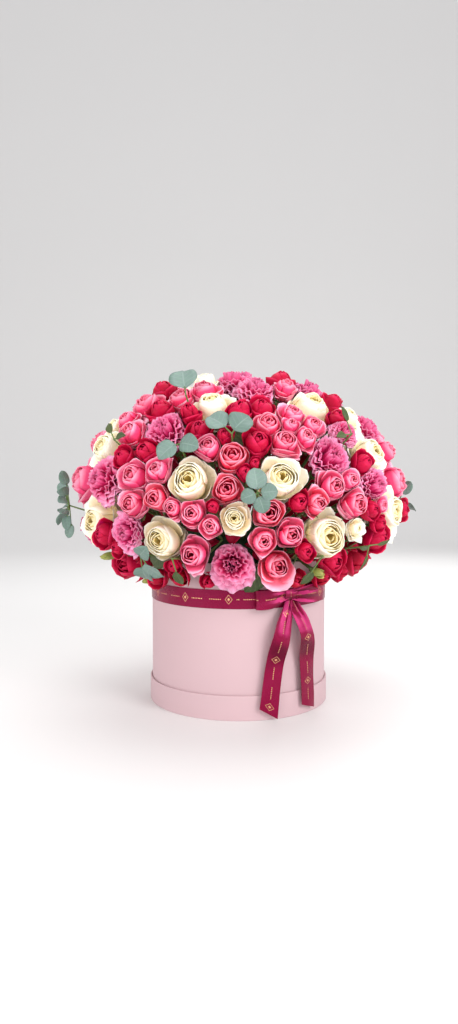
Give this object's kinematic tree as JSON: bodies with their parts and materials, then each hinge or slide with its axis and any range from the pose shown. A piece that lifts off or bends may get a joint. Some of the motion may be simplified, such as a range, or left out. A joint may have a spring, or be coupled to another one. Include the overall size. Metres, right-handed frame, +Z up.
{
  "type": "flower hat box",
  "caption": "Round pink card hat box on its lid, tied with a crimson ribbon bow and filled with a dome of roses, carnations and eucalyptus.",
  "frame": {"origin": "centre of the lid's flat underside, on the surface it stands on, under the box's axis", "axes": "+Z up along the box's axis, -Y towards the front, where the bow is, +X to the right seen from the front"},
  "size_m": [0.5214, 0.4868, 0.4673],
  "materials": {
    "pink_card": "matte",
    "film": "satin",
    "flower_foam": "matte",
    "ribbon": "satin",
    "ivory_petal": "matte",
    "pink_petal": "matte",
    "crimson_petal": "matte",
    "mauve_petal": "matte",
    "green_bud": "matte",
    "grey_leaf": "matte",
    "dark_leaf": "matte"
  },
  "bodies": {
    "root": {"box": "pink_card", "carnation_1": "mauve_petal", "carnation_10": "mauve_petal", "carnation_2": "mauve_petal", "carnation_3": "mauve_petal", "carnation_4": "mauve_petal", "carnation_5": "mauve_petal", "carnation_6": "mauve_petal", "carnation_7": "mauve_petal", "carnation_8": "mauve_petal", "carnation_9": "mauve_petal", "eucalyptus_1": "grey_leaf", "eucalyptus_2": "grey_leaf", "eucalyptus_3": "grey_leaf", "eucalyptus_4": "grey_leaf", "eucalyptus_5": "grey_leaf", "eucalyptus_6": "grey_leaf", "eucalyptus_7": "grey_leaf", "foam": "flower_foam", "garden_rose_1": "ivory_petal", "garden_rose_10": "ivory_petal", "garden_rose_2": "ivory_petal", "garden_rose_3": "ivory_petal", "garden_rose_4": "ivory_petal", "garden_rose_5": "ivory_petal", "garden_rose_6": "ivory_petal", "garden_rose_7": "ivory_petal", "garden_rose_8": "ivory_petal", "garden_rose_9": "ivory_petal", "green_bud_1": "green_bud", "green_bud_2": "green_bud", "lid": "pink_card", "liner": "film", "ribbon_band": "ribbon", "ribbon_bow": "ribbon", "rose_bud_1": "crimson_petal", "rose_bud_2": "crimson_petal", "rose_bud_3": "crimson_petal", "rose_bud_4": "crimson_petal", "rose_bud_5": "crimson_petal", "rose_bud_6": "crimson_petal", "rose_bud_7": "crimson_petal", "rose_leaf_1": "dark_leaf", "rose_leaf_2": "dark_leaf", "rose_leaf_3": "dark_leaf", "rose_leaf_4": "dark_leaf", "rose_leaf_5": "dark_leaf", "spray_rose_1": "pink_petal", "spray_rose_10": "pink_petal", "spray_rose_11": "pink_petal", "spray_rose_12": "pink_petal", "spray_rose_13": "pink_petal", "spray_rose_2": "pink_petal", "spray_rose_3": "pink_petal", "spray_rose_4": "pink_petal", "spray_rose_5": "pink_petal", "spray_rose_6": "pink_petal", "spray_rose_7": "pink_petal", "spray_rose_8": "pink_petal", "spray_rose_9": "pink_petal"}
  },
  "joints": []
}
